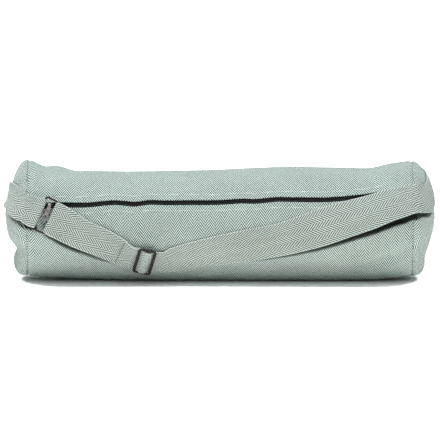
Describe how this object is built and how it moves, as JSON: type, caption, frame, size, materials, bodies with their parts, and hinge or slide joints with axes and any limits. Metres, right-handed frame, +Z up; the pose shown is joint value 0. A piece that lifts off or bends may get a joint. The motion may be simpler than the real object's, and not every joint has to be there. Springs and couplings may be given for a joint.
{
  "type": "yoga mat bag",
  "caption": "Round cloth bag for a rolled yoga mat, with a zip along its front, swelling end panels and an adjustable webbing strap on a ring and a slider.",
  "frame": {"origin": "middle of the flat strip of cloth that the bag rests on, midway between its ends", "axes": "+X along the bag towards the end where the strap is sewn to the panel, +Z up, front with the zip towards -Y"},
  "size_m": [0.6726, 0.193, 0.1895],
  "materials": {
    "body_cloth": "herringbone woven cotton, sage grey",
    "strap_webbing": "herringbone cotton webbing, sage grey",
    "zip_tape": "black woven zip tape",
    "zip_coil": "black nylon coil",
    "black_metal": "black enamelled",
    "dark_nickel": "dark nickel plate",
    "old_brass": "antique brass plate, dulled"
  },
  "bodies": {
    "bag": {"bag_body": "body_cloth", "end_panel_left": "body_cloth", "end_panel_right": "body_cloth", "zip_tape_upper": "zip_tape", "zip_tape_lower": "zip_tape", "zip_coil": "zip_coil", "zip_slider": "black_metal", "strap": "strap_webbing", "strap_tab": "strap_webbing", "strap_ring": "dark_nickel", "strap_slider": "old_brass"},
    "pull": {"zip_pull": "dark_nickel"}
  },
  "joints": [
    {"name": "pull_swing", "type": "hinge", "parent": "bag", "child": "pull", "pos_m": [-0.2658, -0.08489, 0.12892], "axis": [-0.9948, -0.0528, -0.0875], "range_deg": [0, 110]}
  ]
}
